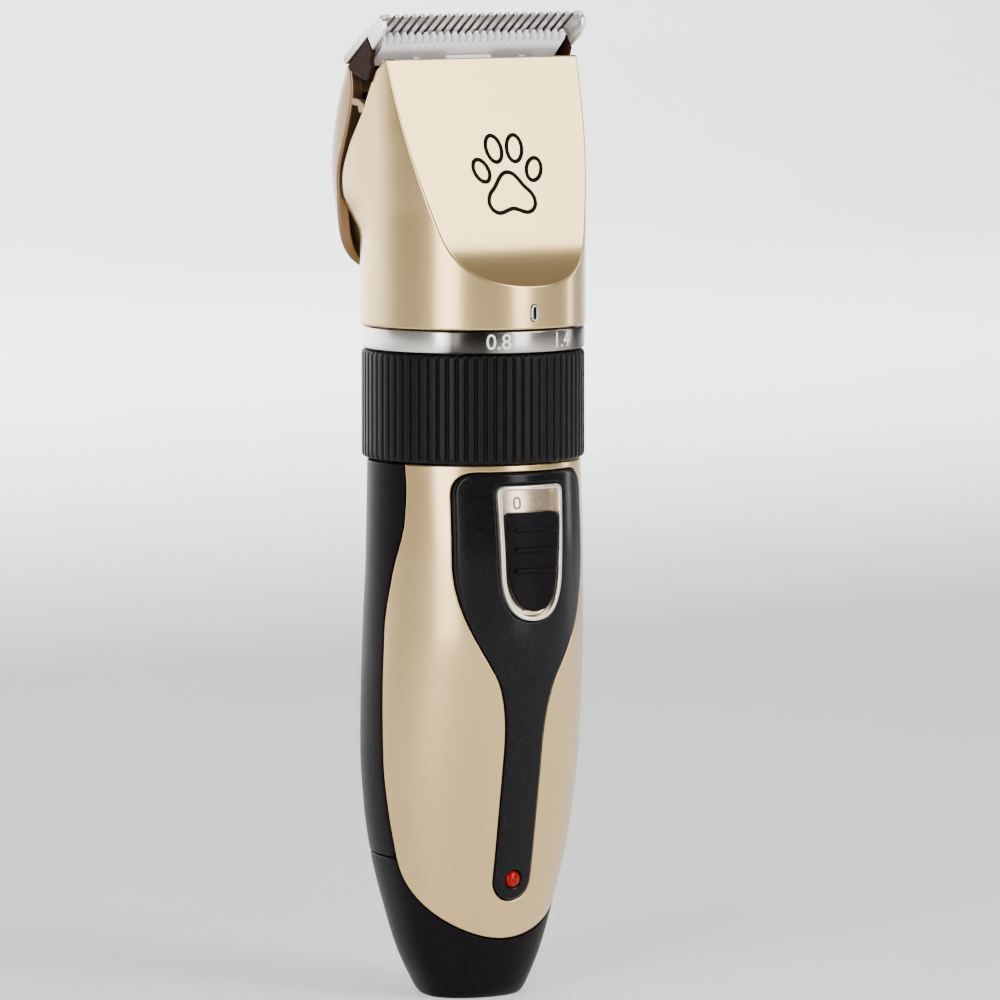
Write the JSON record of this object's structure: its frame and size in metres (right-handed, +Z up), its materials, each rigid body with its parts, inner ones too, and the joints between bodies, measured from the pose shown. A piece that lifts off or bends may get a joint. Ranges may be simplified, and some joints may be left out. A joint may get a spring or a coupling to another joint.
{
  "type": "electric pet clipper",
  "caption": "Cordless pet hair clipper: tapered handle, slide switch, turning length ring and a hooked-on blade head with comb and ceramic blades.",
  "frame": {"origin": "middle of the foot, on the surface that the clipper stands on, below the length ring's axis", "axes": "+Z up the handle towards the blade, -Y the front with the switch, +X the clipper's own left-hand side as seen from behind, to the right as seen from the front"},
  "size_m": [0.0434, 0.0439, 0.1785],
  "materials": {
    "champagne": "champagne gold metallic paint, satin gloss",
    "black_case": "black, fine satin",
    "black_gloss": "black, glossy",
    "bronze": "bronze gold metallic paint",
    "dark_brown": "very dark brown, semi-gloss",
    "chrome": "bright chrome",
    "steel": "ground steel",
    "ceramic": "white zirconia ceramic, satin",
    "inner_plastic": "grey moulded nylon",
    "board": "green circuit board",
    "cell": "blue sleeve on the cell",
    "magnet": "dark ferrite",
    "copper": "copper windings",
    "brass": "bright brass",
    "red_lens": "clear red lens"
  },
  "bodies": {
    "handle": {"front_shell": "champagne", "back_shell": "black_case", "bottom_cap": "black_case", "switch_trim": "black_gloss", "switch_frame": "chrome", "switch_plate": "chrome", "charge_light": "red_lens", "neck_tube": "black_case", "head_shell": "champagne", "index_mark": "chrome", "case_screw_upper_left": "steel", "case_screw_upper_right": "steel", "case_screw_lower_left": "steel", "case_screw_lower_right": "steel", "battery_cell": "cell", "battery_tab_upper": "steel", "battery_tab_lower": "steel", "circuit_board": "board", "slide_switch": "inner_plastic", "charge_jack": "black_case", "charge_pin": "brass", "motor_can": "steel", "motor_end_cap": "inner_plastic", "magnet_left": "magnet", "magnet_right": "magnet", "motor_bracket": "steel", "motor_screw_left": "steel", "motor_screw_right": "steel", "detent_spring": "steel"},
    "adjusting_ring": {"grip_ring": "black_case", "number_band": "chrome", "ring_cam": "inner_plastic"},
    "blade_head": {"blade_carrier": "bronze", "fixed_blade": "steel", "blade_frame": "dark_brown", "blade_screw_left": "steel", "blade_screw_right": "steel"},
    "depth_slide": {"depth_sledge": "inner_plastic", "tension_spring": "steel"},
    "moving_blade": {"ceramic_blade": "ceramic", "drive_fork": "black_case"},
    "switch": {"switch_button": "black_gloss", "switch_slider": "inner_plastic"},
    "rotor": {"armature": "copper", "motor_shaft": "steel", "eccentric_cam": "brass"}
  },
  "joints": [
    {"name": "ring_turn", "type": "hinge", "parent": "handle", "child": "adjusting_ring", "pos_m": [0, 0, 0.108], "axis": [0, 0, 1], "range_deg": [-58.2, 19.4]},
    {"name": "head_tilt", "type": "hinge", "parent": "handle", "child": "blade_head", "pos_m": [0, 0.021, 0.131], "axis": [-1, 0, 0], "range_deg": [0, 35]},
    {"name": "depth_slide_travel", "type": "slide", "parent": "blade_head", "child": "depth_slide", "axis": [0, 0.8141, -0.5807], "range_m": [-0.00031, 0.00091]},
    {"name": "blade_stroke", "type": "slide", "parent": "depth_slide", "child": "moving_blade", "axis": [1, 0, 0], "range_m": [-0.0007, 0.0007]},
    {"name": "switch_travel", "type": "slide", "parent": "handle", "child": "switch", "axis": [0, 0, 1], "range_m": [0, 0.0036]},
    {"name": "rotor_spin", "type": "hinge", "parent": "handle", "child": "rotor", "pos_m": [0, 0, 0.1], "axis": [0, 0, 1], "continuous": true}
  ],
  "couplings": [
    {"joint": "depth_slide_travel", "follows": "ring_turn", "m_per_rad": -0.000886}
  ]
}
